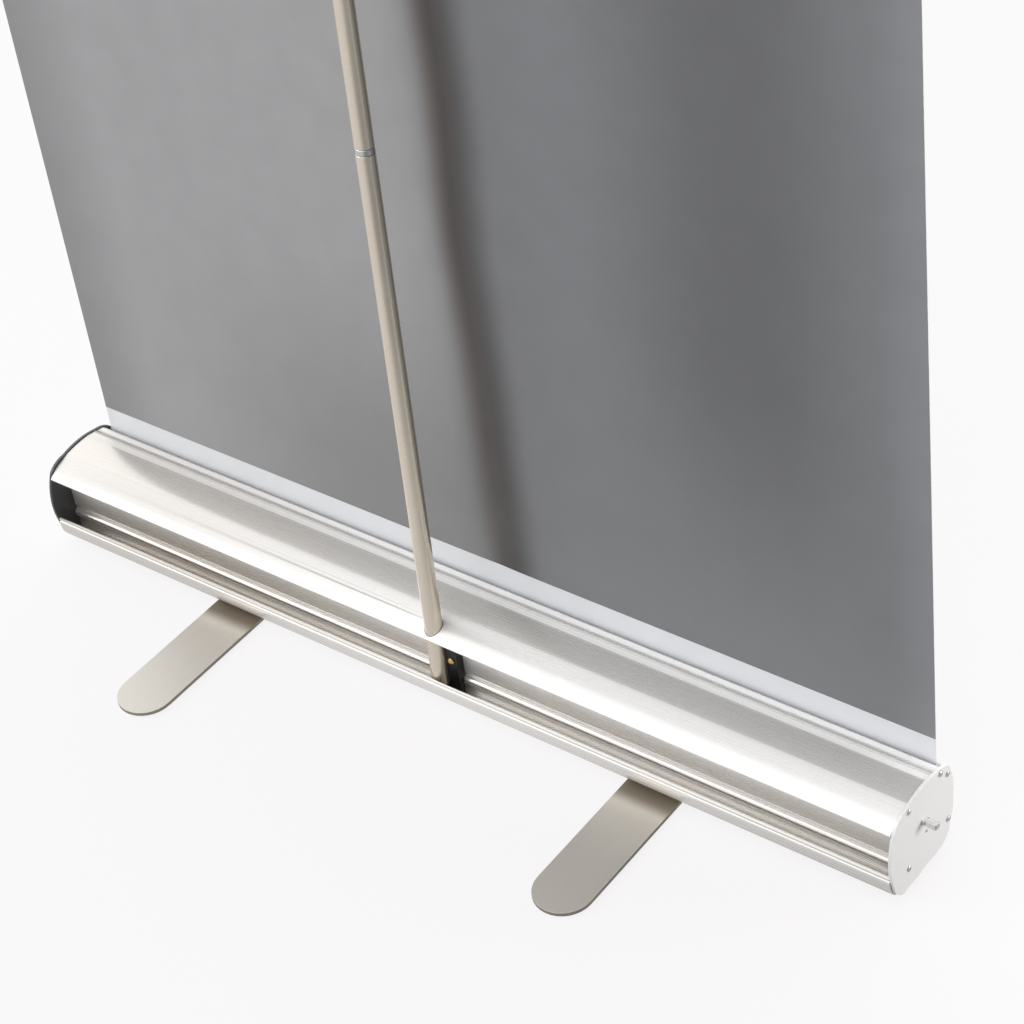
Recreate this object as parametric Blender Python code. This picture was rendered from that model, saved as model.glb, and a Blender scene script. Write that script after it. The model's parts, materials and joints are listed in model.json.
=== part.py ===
# Roll-up banner stand: a spring roller in an extruded aluminium housing, two swing-out feet, a four-piece
# pole and a snap rail that carries an 850 mm wide banner film.
#
# Everything is modelled in the banner's own frame, in millimetres: the film hangs in the plane y = 0, its
# middle is x = 0 and the floor is z = 0. +Y is the rear, where the pole stands. The empty "stand" then
# carries the whole model to its reference point, the middle of the feet's and housing's outline on the floor.

import math

import bmesh
import bpy
from mathutils import Matrix, Vector

MM = 0.001
GAP = 0.3                    # kept between pieces that touch

# Film and housing
FILM_WIDTH = 850.0
FILM_THICK = 0.5
SLOT_Z = 83.0                # where the film leaves the housing
LEADER_TOP_Z = 108.0         # the white leader shows between the slot and here
FILM_TOP_Z = 2078.0
HOUSING_HALF = 430.2
PLATE_THICK = 2.5
PLATE_OUTER_X = 433.0

# Roller, seen from the end
ROLLER_Y = 33.0
ROLLER_Z = 56.0
TUBE_R = 16.0
TUBE_WALL = 1.2
WRAP_R = 17.3                # two turns of leader stay on the tube
TUBE_HALF = 419.0
AXLE_R = 3.8
PIN_REACH = 12.0             # how far the tension pin stands out of its plate

# Screw ports of the housing section: centre y, centre z
PORT_R = 3.6
PORT_BORE_R = 1.9
SCREW_PORTS = {
    "slot_rear": (8.0, 83.6),
    "slot_front": (-2.6, 74.6),
    "rear_top": (54.2, 84.0),
    "front_low": (-2.4, 26.8),
    "rear_low": (56.0, 25.4),
}
REAR_LOW_R = 4.6
SCREW_R = 1.6
SCREW_LENGTH = 14.0

# Feet
FOOT_X = {"right": 228.0, "left": -209.0}
FOOT_Y = 35.0
FOOT_LENGTH = 362.4
FOOT_WIDTH = 50.4
FOOT_LOW_Z = 1.2
FOOT_THICK = 3.4
PAD_THICK = 0.9
PAD_R = 9.0
PAD_INSET = 17.0
PIVOT_R = 3.0
HOUSING_LOW_Z = 5.8

# Pole: four tubes on one leaning line, held in a block in the housing's rear channel
POLE_R = 7.6
POLE_WALL = 0.8
POLE_FOOT = (2.06, 68.2, 24.0)
POLE_TOP = (0.0, 10.7, 2084.0)
SECTION_PITCH = 510.0
SECTIONS = 4
COLLAR_HEIGHT = 5.0
SPIGOT_REACH = 30.0
TIP_HEIGHT = 9.0
POLE_HOLE_R = 8.1

# Top rail
RAIL_HALF = 427.0
RAIL_LOW_Z = 2050.0
RAIL_TOP_Z = 2084.0
RAIL_WALL = 1.3
CAP_THICK = 2.2
JAW_AXIS = (-2.2, 2081.2)    # y, z of the snap jaw's hinge bead
NOTCH_HALF = 10.5

for old in list(bpy.data.objects):
    bpy.data.objects.remove(old, do_unlink=True)


# ---------------------------------------------------------------- materials
def material(name, colour, roughness, metallic):
    made = bpy.data.materials.new(name)
    made.use_nodes = True
    shader = made.node_tree.nodes["Principled BSDF"]
    shader.inputs["Base Color"].default_value = (*colour, 1.0)
    shader.inputs["Roughness"].default_value = roughness
    shader.inputs["Metallic"].default_value = metallic
    return made


ALUMINIUM = material("satin_aluminium", (0.80, 0.80, 0.80), 0.28, 1.0)
PLATE_PAINT = material("plate_paint", (0.72, 0.72, 0.69), 0.45, 0.0)
FOOT_STEEL = material("foot_steel", (0.62, 0.61, 0.57), 0.38, 1.0)
POLE_ALLOY = material("pole_alloy", (0.66, 0.65, 0.60), 0.34, 1.0)
BRIGHT_STEEL = material("bright_steel", (0.74, 0.74, 0.74), 0.25, 1.0)
BRASS_ZINC = material("brass_zinc", (0.72, 0.55, 0.26), 0.35, 1.0)
SPRING_STEEL = material("spring_steel", (0.30, 0.30, 0.31), 0.35, 1.0)
BLACK_PLASTIC = material("black_plastic", (0.02, 0.02, 0.02), 0.45, 0.0)
RUBBER = material("rubber", (0.05, 0.05, 0.05), 0.8, 0.0)
LEADER_FILM = material("leader_film", (0.80, 0.80, 0.84), 0.5, 0.0)
BANNER_FILM = material("banner_film", (0.33, 0.33, 0.34), 0.5, 0.0)
CORD_BLACK = material("bungee_cord", (0.04, 0.04, 0.05), 0.8, 0.0)


# ---------------------------------------------------------------- shape helpers
def arc(start, via, end, steps):
    """Points after start on the circle through three points, up to end."""
    (ax, ay), (bx, by), (cx, cy) = start, via, end
    d = 2 * (ax * (by - cy) + bx * (cy - ay) + cx * (ay - by))
    sa, sb, sc = ax * ax + ay * ay, bx * bx + by * by, cx * cx + cy * cy
    ux = (sa * (by - cy) + sb * (cy - ay) + sc * (ay - by)) / d
    uy = (sa * (cx - bx) + sb * (ax - cx) + sc * (bx - ax)) / d
    first, middle, last = (math.atan2(y - uy, x - ux) for x, y in (start, via, end))
    turn = (last - first) % math.tau
    if (middle - first) % math.tau > turn:
        turn -= math.tau
    radius = math.hypot(ax - ux, ay - uy)
    angles = [first + turn * i / steps for i in range(1, steps + 1)]
    return [(ux + radius * math.cos(a), uy + radius * math.sin(a)) for a in angles]


def round_arc(centre, radius, first, last, steps):
    """Points on a circle from the first angle to the last, both in degrees."""
    angles = [math.radians(first + (last - first) * i / steps) for i in range(steps + 1)]
    return [(centre[0] + radius * math.cos(a), centre[1] + radius * math.sin(a)) for a in angles]


def screw_port(name, radius, first, slit, last):
    """An extruded screw port: a round boss, walked clockwise, whose bore opens through a narrow slit."""
    centre = SCREW_PORTS[name]
    outer_half = math.degrees(0.7 / radius)
    bore_half = math.degrees(0.7 / PORT_BORE_R)
    return (
        round_arc(centre, radius, first, slit + outer_half, 6)
        + round_arc(centre, PORT_BORE_R, slit + bore_half, slit + 360 - bore_half, 10)
        + round_arc(centre, radius, slit - outer_half, last, 6)
    )


def new_object(name, mesh, look, parent, location=(0, 0, 0)):
    made = bpy.data.objects.new(name, mesh)
    bpy.context.collection.objects.link(made)
    mesh.materials.append(look)
    made.parent = parent
    made.location = Vector(location) * MM
    return made


def shade_round(mesh):
    mesh.shade_smooth()
    mesh.set_sharp_from_angle(angle=math.radians(32))


def prism(name, outline, x_from, x_to, look, parent):
    """An outline of (y, z) points extruded along X."""
    build = bmesh.new()
    loop = [build.verts.new((x_from * MM, y * MM, z * MM)) for y, z in outline]
    cap = build.faces.new(loop)
    grown = bmesh.ops.extrude_face_region(build, geom=[cap])
    moved = [v for v in grown["geom"] if isinstance(v, bmesh.types.BMVert)]
    bmesh.ops.translate(build, verts=moved, vec=((x_to - x_from) * MM, 0, 0))
    bmesh.ops.recalc_face_normals(build, faces=build.faces)
    mesh = bpy.data.meshes.new(name)
    build.to_mesh(mesh)
    build.free()
    shade_round(mesh)
    return new_object(name, mesh, look, parent)


def flat_plate(name, outline, z_from, z_to, look, parent):
    """An outline of (x, y) points extruded upwards."""
    build = bmesh.new()
    loop = [build.verts.new((x * MM, y * MM, z_from * MM)) for x, y in outline]
    cap = build.faces.new(loop)
    grown = bmesh.ops.extrude_face_region(build, geom=[cap])
    moved = [v for v in grown["geom"] if isinstance(v, bmesh.types.BMVert)]
    bmesh.ops.translate(build, verts=moved, vec=(0, 0, (z_to - z_from) * MM))
    bmesh.ops.recalc_face_normals(build, faces=build.faces)
    mesh = bpy.data.meshes.new(name)
    build.to_mesh(mesh)
    build.free()
    shade_round(mesh)
    return new_object(name, mesh, look, parent)


def turned(name, profile, look, parent, segments=16, location=(0, 0, 0)):
    """A closed (radius, height) profile turned about the local Z axis; points on the axis become one."""
    build = bmesh.new()
    rings = []
    for radius, height in profile:
        if radius == 0:
            rings.append([build.verts.new((0, 0, height * MM))])
            continue
        spots = [math.tau * i / segments for i in range(segments)]
        ring = [(radius * math.cos(a) * MM, radius * math.sin(a) * MM, height * MM) for a in spots]
        rings.append([build.verts.new(spot) for spot in ring])
    for lower, upper in zip(rings, rings[1:] + rings[:1]):
        for i in range(segments):
            j = (i + 1) % segments
            if len(lower) == 1 and len(upper) == 1:
                break
            if len(lower) == 1:
                build.faces.new((lower[0], upper[j], upper[i]))
            elif len(upper) == 1:
                build.faces.new((lower[i], lower[j], upper[0]))
            else:
                build.faces.new((lower[i], lower[j], upper[j], upper[i]))
    bmesh.ops.recalc_face_normals(build, faces=build.faces)
    mesh = bpy.data.meshes.new(name)
    build.to_mesh(mesh)
    build.free()
    shade_round(mesh)
    return new_object(name, mesh, look, parent, location)


def box(name, low, high, look, parent):
    x_low, y_low, z_low = low
    x_high, y_high, z_high = high
    outline = [(y_low, z_low), (y_high, z_low), (y_high, z_high), (y_low, z_high)]
    return prism(name, outline, x_low, x_high, look, parent)


def combine(piece, tool, operation):
    """Cuts a piece with a hidden tool, or joins the tool to it."""
    tool.hide_render = True
    tool.display_type = "WIRE"
    step = piece.modifiers.new(f"{operation.lower()} {tool.name}", "BOOLEAN")
    step.operation = operation
    step.solver = "EXACT"
    step.object = tool


def frame_at(name, parent, location=(0, 0, 0), turn=None):
    """An empty that carries pieces; turn is a rotation matrix."""
    made = bpy.data.objects.new(name, None)
    bpy.context.collection.objects.link(made)
    made.parent = parent
    made.location = Vector(location) * MM
    if turn is not None:
        made.rotation_euler = turn.to_euler()
    return made


ALONG_X = Matrix.Rotation(math.radians(90), 3, "Y")      # local +Z points along +X
ALONG_MINUS_X = Matrix.Rotation(math.radians(-90), 3, "Y")
ALONG_MINUS_Y = Matrix.Rotation(math.radians(90), 3, "X")

# The pin stands out at one end only, so the stand's middle lies half its reach away from the banner's.
SCREW_HEAD = 0.8
STAND_SHIFT_X = (PIN_REACH - SCREW_HEAD - GAP) / 2
stand = frame_at("stand", None, (STAND_SHIFT_X, -FOOT_Y, 0))


# ---------------------------------------------------------------- housing
def housing_outline():
    """The section of the housing: top skin, nose, rear channel, lip, bottom and front, as one C shape."""
    skin = [(3.0, 82.4), (3.3, 84.7), (5.6, 86.4), (10.8, 87.7)]
    skin += [(11.2, 86.9), (11.8, 88.0), (14.8, 88.6), (15.2, 89.35), (18.4, 89.2), (25.0, 90.4)]
    skin += arc((25.0, 90.4), (38.5, 90.4), (51.0, 88.7), 8)
    skin += arc((51.0, 88.7), (58.0, 86.5), (64.6, 84.3), 4)
    skin += arc((64.6, 84.3), (71.2, 81.0), (76.5, 76.4), 8)
    nose = arc((76.5, 76.4), (76.3, 75.0), (75.0, 75.2), 3)
    nose += arc((75.0, 75.2), (70.2, 79.3), (64.2, 82.3), 6)
    nose += [(60.4, 83.6)] + arc((60.4, 83.6), (58.6, 83.3), (57.9, 81.8), 3)
    channel = [(57.9, 34.6), (57.2, 33.2)]
    channel += screw_port("rear_low", REAR_LOW_R, 75, 12, -79)
    channel += [(56.9, 9.2)] + arc((56.9, 9.2), (57.4, 7.9), (58.7, 7.6), 3) + [(64.0, 7.6)]
    lip = arc((64.0, 7.6), (71.0, 12.4), (77.0, 24.8), 6) + [(76.9, 32.4)]
    lip += arc((76.9, 32.4), (78.2, 33.6), (79.5, 32.4), 4)
    lip += [(79.6, 31.9), (78.7, 31.4), (78.7, 30.3), (79.7, 29.7), (79.7, 26.4), (79.4, 24.4)]
    lip += arc((79.4, 24.4), (76.1, 14.4), (70.4, 8.8), 6)
    under = arc((70.4, 8.8), (67.5, 6.7), (64.0, HOUSING_LOW_Z), 3) + [(12.0, HOUSING_LOW_Z)]
    front = arc((12.0, HOUSING_LOW_Z), (3.0, 8.2), (-2.5, 14.0), 4)
    front += arc((-2.5, 14.0), (-8.0, 28.0), (-10.1, 46.0), 5)
    front += arc((-10.1, 46.0), (-9.8, 63.0), (-4.6, 79.3), 6) + [(-3.6, 80.9), (-2.6, 80.2)]
    inside = screw_port("slot_front", PORT_R, 75, -20, -115)
    inside += [(-7.0, 66.0)] + arc((-7.0, 66.0), (-8.2, 55.0), (-8.3, 45.0), 4) + [(-6.6, 31.4)]
    inside += screw_port("front_low", PORT_R, 122, 10, -100)
    inside += [(-3.9, 20.6), (-1.0, 15.0)] + arc((-1.0, 15.0), (4.2, 9.9), (12.0, 7.6), 4) + [(54.2, 7.6)]
    inside += [(55.1, 8.4)] + round_arc(SCREW_PORTS["rear_low"], REAR_LOW_R, -101, -271, 8)
    inside += screw_port("rear_top", PORT_R, -58, -145, -228)
    inside += arc((51.0, 87.0), (39.0, 88.7), (25.0, 88.4), 6) + [(12.8, 86.2)]
    inside += screw_port("slot_rear", PORT_R, 18, -62, -150)
    return skin + nose + channel + lip + under + front + inside


def plate_outline():
    """The closed outline of an end plate, a little larger than the housing all round."""
    edge = [(64.0, 5.4), (11.0, 5.4)]
    edge += arc((11.0, 5.4), (2.4, 7.8), (-3.1, 13.6), 4)
    edge += arc((-3.1, 13.6), (-8.8, 28.0), (-10.9, 46.0), 5)
    edge += arc((-10.9, 46.0), (-10.6, 63.3), (-5.2, 80.0), 6)
    edge += arc((-5.2, 80.0), (1.6, 85.8), (12.4, 89.1), 5)
    edge += arc((12.4, 89.1), (34.0, 91.7), (55.0, 88.8), 8)
    edge += arc((55.0, 88.8), (66.6, 86.2), (73.6, 81.4), 5)
    edge += arc((73.6, 81.4), (80.9, 55.0), (77.3, 24.0), 12)
    edge += arc((77.3, 24.0), (73.6, 13.2), (64.0, 5.4), 6)[:-1]
    return edge


pole_line = (Vector(POLE_TOP) - Vector(POLE_FOOT)).normalized()
pole_turn = pole_line.to_track_quat("Z", "Y").to_matrix()
pole_axis = frame_at("pole_axis", stand, POLE_FOOT, pole_turn)

housing = prism("housing_shell", housing_outline(), -HOUSING_HALF, HOUSING_HALF, ALUMINIUM, stand)
pole_drill = turned(
    "pole_drill", [(0, 45), (POLE_HOLE_R, 45), (POLE_HOLE_R, 75), (0, 75)], ALUMINIUM, pole_axis, 32
)
combine(housing, pole_drill, "DIFFERENCE")
for side, foot_x in FOOT_X.items():
    pivot_drill = turned(
        f"pivot_drill_{side}", [(0, 3), (PIVOT_R + GAP, 3), (PIVOT_R + GAP, 9), (0, 9)],
        ALUMINIUM, stand, 16, (foot_x, FOOT_Y, 0),
    )
    combine(housing, pivot_drill, "DIFFERENCE")

SEAT_SCREW_X = -10.8
SEAT_SCREW_Z = 50.0
seat_screw_axis = frame_at("seat_screw_axis", stand, (SEAT_SCREW_X, 66.3, SEAT_SCREW_Z), ALONG_MINUS_Y)
wall_drill = turned("wall_drill", [(0, 6), (1.9, 6), (1.9, 12), (0, 12)], ALUMINIUM, seat_screw_axis, 12)
combine(housing, wall_drill, "DIFFERENCE")


# ---------------------------------------------------------------- end plates and their screws
def end_plate(side, sign):
    inner_x = sign * (PLATE_OUTER_X - PLATE_THICK)
    plate = prism(f"end_plate_{side}", plate_outline(), inner_x, sign * PLATE_OUTER_X, PLATE_PAINT, stand)
    outward = ALONG_X if sign > 0 else ALONG_MINUS_X
    for port, (y, z) in SCREW_PORTS.items():
        port_axis = frame_at(f"port_{port}_{side}", stand, (sign * PLATE_OUTER_X, y, z), outward)
        drill = turned(
            f"screw_drill_{port}_{side}", [(0, -4), (2.0, -4), (2.0, 1), (0, 1)], PLATE_PAINT, port_axis, 12
        )
        combine(plate, drill, "DIFFERENCE")
        shank = SCREW_R
        head = [(2.6, GAP), (2.6, GAP + 0.4), (1.9, GAP + SCREW_HEAD), (0, GAP + SCREW_HEAD)]
        body = [(0, -SCREW_LENGTH), (0.7, -SCREW_LENGTH), (shank, 2.5 - SCREW_LENGTH), (shank, GAP)]
        turned(f"plate_screw_{port}_{side}", body + head, BRIGHT_STEEL, port_axis, 12)
    return plate


plate_left = end_plate("left", -1)
plate_right = end_plate("right", 1)
roller_axis = frame_at("roller_axis", stand, (0, ROLLER_Y, ROLLER_Z), ALONG_X)

# The pin's hole in the left plate has two flats, so it holds the axle from turning.
PIN_R = 3.8
PIN_FLAT = 2.6
flats = [(ROLLER_Y + y, ROLLER_Z + z) for y, z in round_arc((0, 0), PIN_R + GAP, -40, 40, 4)]
flats += [(ROLLER_Y + y, ROLLER_Z + z) for y, z in round_arc((0, 0), PIN_R + GAP, 140, 220, 4)]
flat_punch = prism("flat_punch", flats, -PLATE_OUTER_X - 3, -PLATE_OUTER_X + 5, PLATE_PAINT, stand)
combine(plate_left, flat_punch, "DIFFERENCE")
lock_drill = turned(
    "lock_drill", [(0, -436), (1.5, -436), (1.5, -428), (0, -428)], PLATE_PAINT,
    frame_at("lock_axis", stand, (0, 29.6, 41.8), ALONG_X), 12,
)
combine(plate_left, lock_drill, "DIFFERENCE")
idle_drill = turned(
    "idle_drill", [(0, 428), (AXLE_R + GAP, 428), (AXLE_R + GAP, 436), (0, 436)], PLATE_PAINT, roller_axis, 20
)
combine(plate_right, idle_drill, "DIFFERENCE")


# ---------------------------------------------------------------- roller and spring
bore = TUBE_R - TUBE_WALL
turned(
    "roller_tube",
    [(TUBE_R, TUBE_HALF), (bore, TUBE_HALF), (bore, -TUBE_HALF), (TUBE_R, -TUBE_HALF)],
    ALUMINIUM, roller_axis, 28,
)
half_film = FILM_WIDTH / 2
turned(
    "leader_wraps",
    [(WRAP_R, half_film - 8), (TUBE_R + GAP, half_film - 8), (TUBE_R + GAP, 8 - half_film), (WRAP_R, 8 - half_film)],
    LEADER_FILM, roller_axis, 28,
)


def roller_plug(name, sign, bore_radius):
    """A flanged plastic plug in one end of the tube, turning on the axle or the stub."""
    face = TUBE_HALF + GAP
    profile = [(bore_radius, face + 2.5), (17.0, face + 2.5), (17.0, face), (bore - GAP, face)]
    profile += [(bore - GAP, face - 22), (bore_radius, face - 22)]
    turned(name, [(r, sign * h) for r, h in profile], BLACK_PLASTIC, roller_axis, 20)


roller_plug("roller_plug_left", -1, AXLE_R + 0.25)
roller_plug("roller_plug_right", 1, AXLE_R + 0.25)

# Idle end: a headed stub through the right plate.
turned(
    "idle_stub",
    [(0, 399), (AXLE_R, 399), (AXLE_R, PLATE_OUTER_X + GAP), (5.6, PLATE_OUTER_X + GAP),
     (5.6, PLATE_OUTER_X + 0.9), (4.6, PLATE_OUTER_X + SCREW_HEAD + GAP), (0, PLATE_OUTER_X + SCREW_HEAD + GAP)],
    BRIGHT_STEEL, roller_axis, 20,
)

# Spring end: the axle runs into the tube, and its flatted end stands out of the left plate.
SPRING_INNER_X = 150.0
axle_end = PLATE_OUTER_X + PIN_REACH
axle = turned(
    "tension_axle",
    [(0, -axle_end), (2.6, -axle_end), (PIN_R, -axle_end + 0.9), (PIN_R, -SPRING_INNER_X), (0, -SPRING_INNER_X)],
    BRIGHT_STEEL, roller_axis, 20,
)
for flat_side in (-1, 1):
    z_near = ROLLER_Z + flat_side * PIN_FLAT
    z_far = ROLLER_Z + flat_side * 6
    low_z, high_z = min(z_near, z_far), max(z_near, z_far)
    flat_mill = box(
        f"flat_mill_{flat_side + 1}", (-axle_end - 1, ROLLER_Y - 6, low_z),
        (-PLATE_OUTER_X + 5, ROLLER_Y + 6, high_z), BRIGHT_STEEL, stand,
    )
    combine(axle, flat_mill, "DIFFERENCE")
neck_x = -PLATE_OUTER_X - 3.2
neck = turned(
    "pin_neck_cutter", [(2.7, neck_x - 0.9), (6, neck_x - 0.9), (6, neck_x + 0.9), (2.7, neck_x + 0.9)],
    BRIGHT_STEEL, roller_axis, 20,
)
combine(axle, neck, "DIFFERENCE")

anchor_x = -SPRING_INNER_X - 6
turned(
    "spring_anchor_plug",
    [(AXLE_R + 0.25, anchor_x + 14), (bore - GAP, anchor_x + 14), (bore - GAP, anchor_x - 14),
     (AXLE_R + 0.25, anchor_x - 14)],
    BLACK_PLASTIC, roller_axis, 20,
)


def coil(name, radius, wire, x_from, x_to, turns, look, parent, per_turn=10, sides=5):
    """A helix of round wire about the local Z axis, with flat ends."""
    build = bmesh.new()
    count = turns * per_turn
    pitch = (x_to - x_from) / count
    slope = math.atan2(x_to - x_from, math.tau * radius * turns)
    rings = []
    for i in range(count + 1):
        angle = math.tau * i / per_turn
        outward = Vector((math.cos(angle), math.sin(angle), 0))
        along = Vector((-math.sin(angle) * math.cos(slope), math.cos(angle) * math.cos(slope), math.sin(slope)))
        across = along.cross(outward)
        centre = outward * radius + Vector((0, 0, x_from + pitch * i))
        spots = [math.tau * k / sides for k in range(sides)]
        ring = [centre + (outward * math.cos(s) + across * math.sin(s)) * wire for s in spots]
        rings.append([build.verts.new(spot * MM) for spot in ring])
    for lower, upper in zip(rings, rings[1:]):
        for k in range(sides):
            m = (k + 1) % sides
            build.faces.new((lower[k], lower[m], upper[m], upper[k]))
    build.faces.new(rings[0])
    build.faces.new(rings[-1])
    bmesh.ops.recalc_face_normals(build, faces=build.faces)
    mesh = bpy.data.meshes.new(name)
    build.to_mesh(mesh)
    build.free()
    shade_round(mesh)
    return new_object(name, mesh, look, parent)


coil("torsion_spring", 8.6, 1.2, -395.6, -171.6, 22, SPRING_STEEL, roller_axis)


# ---------------------------------------------------------------- leader and film
def tangent_to_wraps(point):
    """Where a straight strip from a point touches the roller's front side."""
    dy, dz = ROLLER_Y - point[0], ROLLER_Z - point[1]
    reach = math.hypot(dy, dz)
    radius = WRAP_R + GAP + FILM_THICK / 2
    run = math.sqrt(reach ** 2 - radius ** 2)
    angle = math.atan2(dz, dy) - math.asin(radius / reach)
    return (point[0] + run * math.cos(angle), point[1] + run * math.sin(angle))


def strip_outline(path, thick):
    """A thin strip of even thickness along a path of (y, z) points."""
    left, right = [], []
    for i, (y, z) in enumerate(path):
        before = path[max(i - 1, 0)]
        after = path[min(i + 1, len(path) - 1)]
        length = math.hypot(after[0] - before[0], after[1] - before[1])
        ny, nz = -(after[1] - before[1]) / length, (after[0] - before[0]) / length
        left.append((y + ny * thick / 2, z + nz * thick / 2))
        right.append((y - ny * thick / 2, z - nz * thick / 2))
    return left + right[::-1]


bend_low = (1.3, SLOT_Z - 5.2)
wrap_touch = tangent_to_wraps(bend_low)
leader_path = [(0, LEADER_TOP_Z), (0, SLOT_Z)] + arc((0, SLOT_Z), (0.25, SLOT_Z - 2.8), bend_low, 3)
leader_path += [wrap_touch]
prism("leader_strip", strip_outline(leader_path, FILM_THICK), -half_film, half_film, LEADER_FILM, stand)
half_thick = FILM_THICK / 2
box(
    "banner_film", (-half_film, -half_thick, LEADER_TOP_Z + GAP), (half_film, half_thick, FILM_TOP_Z),
    BANNER_FILM, stand,
)


# ---------------------------------------------------------------- top rail
def rail_rear_outline():
    """Clamp wall, bridge over the film, hinge groove and hollow rear skin."""
    top = RAIL_TOP_Z
    groove = round_arc(JAW_AXIS, 1.65, -12, 128, 8)
    rim = round_arc(JAW_AXIS, 2.9, 128, 62, 5)
    clamp = [(0.55, RAIL_LOW_Z + 3.0), (0.55, JAW_AXIS[1] - 1.1)]
    crest = [(2.4, top - 0.2)] + arc((2.4, top - 0.2), (9.6, top - 3.2), (13.2, top - 10.0), 6)
    back = arc((13.2, top - 10.0), (14.0, top - 19.0), (12.2, top - 29.0), 4)
    back += [(9.0, RAIL_LOW_Z + 1.0), (8.6, RAIL_LOW_Z + 2.2), (11.0, RAIL_LOW_Z + 7.6)]
    inner = arc((11.0, RAIL_LOW_Z + 7.6), (12.6, top - 19.0), (12.0, top - 10.4), 4)
    inner += arc((12.0, top - 10.4), (8.6, top - 4.2), (2.6, top - 1.7), 5)
    wall = [(1.75, top - 2.4), (1.75, RAIL_LOW_Z + 3.0)]
    return clamp + groove + rim + crest + back + inner + wall


def jaw_outline():
    """Hinge bead and bowed front skin, down to the lip that presses on the film."""
    y, z = JAW_AXIS
    low = RAIL_LOW_Z
    bead = round_arc(JAW_AXIS, 1.3, -72, 215, 12)
    outer = [(y - 2.6, z - 2.2)] + arc((y - 2.6, z - 2.2), (-9.6, z - 8.6), (-11.0, z - 17.0), 6)
    outer += arc((-11.0, z - 17.0), (-9.4, low + 5.4), (-4.6, low), 6)
    lip = [(-1.0, low + 0.6), (-0.55, low + 1.6), (-0.55, low + 5.0), (-1.7, low + 5.0), (-1.7, low + 1.9)]
    inner = [(-4.4, low + 1.5)] + arc((-4.4, low + 1.5), (-8.3, low + 6.2), (-9.7, z - 17.0), 6)
    inner += arc((-9.7, z - 17.0), (-8.4, z - 9.6), (y - 1.7, z - 3.6), 6)
    return bead + outer + lip + inner


rail_rear = prism("rail_rear", rail_rear_outline(), -RAIL_HALF, RAIL_HALF, ALUMINIUM, stand)
notch_mill = box(
    "notch_mill", (-NOTCH_HALF, 2.1, RAIL_LOW_Z - 4), (NOTCH_HALF, 18, RAIL_TOP_Z + 4), ALUMINIUM, stand
)
combine(rail_rear, notch_mill, "DIFFERENCE")
jaw_hinge = frame_at("jaw_hinge", stand, (0, JAW_AXIS[0], JAW_AXIS[1]))
jaw_local = [(y - JAW_AXIS[0], z - JAW_AXIS[1]) for y, z in jaw_outline()]
prism("rail_jaw", jaw_local, -RAIL_HALF, RAIL_HALF, ALUMINIUM, jaw_hinge)


def rail_cap(side, sign):
    """A plastic end cap with a plug that fits the rail's rear hollow."""
    top, low = RAIL_TOP_Z, RAIL_LOW_Z
    face = arc((2.0, top + 0.4), (10.2, top - 3.0), (13.9, top - 10.0), 6)
    face += arc((13.9, top - 10.0), (14.7, top - 19.0), (12.6, top - 29.6), 4) + [(9.4, low - 0.2), (-4.8, low - 0.6)]
    face += arc((-4.8, low - 0.6), (-10.2, low + 5.2), (-11.7, top - 20.4), 6)
    face += arc((-11.7, top - 20.4), (-9.6, top - 9.0), (-5.4, top - 0.4), 6)
    start = sign * (RAIL_HALF + GAP)
    cap = prism(f"rail_cap_{side}", face, start, start + sign * CAP_THICK, BLACK_PLASTIC, stand)
    plug = [(2.3, low + 5.0), (7.6, low + 5.0), (10.4, low + 9.0)]
    plug += arc((10.4, low + 9.0), (12.0, top - 19.0), (11.4, top - 11.0), 3) + [(8.2, top - 5.6), (2.3, top - 3.6)]
    key = prism(f"rail_cap_plug_{side}", plug, start - sign * 9, start + sign * 1, BLACK_PLASTIC, stand)
    combine(cap, key, "UNION")


rail_cap("left", -1)
rail_cap("right", 1)


# ---------------------------------------------------------------- pole
pole_bore = POLE_R - POLE_WALL
FOOT_PLUG = 2.0
for number in range(1, SECTIONS + 1):
    low = (number - 1) * SECTION_PITCH + (0 if number == 1 else GAP)
    high = number * SECTION_PITCH - (COLLAR_HEIGHT + GAP if number < SECTIONS else 0)
    chamfer = 0.35
    turned(
        f"pole_section_{number}",
        [(POLE_R, high - chamfer), (POLE_R - chamfer, high), (pole_bore, high), (pole_bore, low),
         (POLE_R - chamfer, low), (POLE_R, low + chamfer)],
        POLE_ALLOY, pole_axis, 32,
    )
for number in range(1, SECTIONS):
    joint = number * SECTION_PITCH
    spigot_r = pole_bore - GAP
    low, high = joint - COLLAR_HEIGHT, joint
    turned(
        f"pole_spigot_{number}",
        [(spigot_r, low), (POLE_R - 0.4, low), (POLE_R, low + 0.4), (POLE_R, high - 0.4), (POLE_R - 0.4, high),
         (spigot_r, high), (spigot_r, high + SPIGOT_REACH - 2), (spigot_r - 1.2, high + SPIGOT_REACH),
         (2.4, high + SPIGOT_REACH), (2.4, low - SPIGOT_REACH), (spigot_r, low - SPIGOT_REACH)],
        BRIGHT_STEEL, pole_axis, 20,
    )
turned(
    "pole_foot_plug",
    [(0, -FOOT_PLUG - GAP), (6.6, -FOOT_PLUG - GAP), (POLE_R, -FOOT_PLUG + 0.3), (POLE_R, -GAP),
     (pole_bore - GAP, -GAP), (pole_bore - GAP, 16), (0, 16)],
    RUBBER, pole_axis, 20,
)
tube_end = SECTIONS * SECTION_PITCH
turned(
    "pole_tip",
    [(0, tube_end - 18), (pole_bore - GAP, tube_end - 18), (pole_bore - GAP, tube_end + GAP),
     (POLE_R, tube_end + GAP), (POLE_R, tube_end + 3.0), (6.3, tube_end + 6.0), (4.2, tube_end + 8.1),
     (0, tube_end + TIP_HEIGHT)],
    BLACK_PLASTIC, pole_axis, 20,
)
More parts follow.
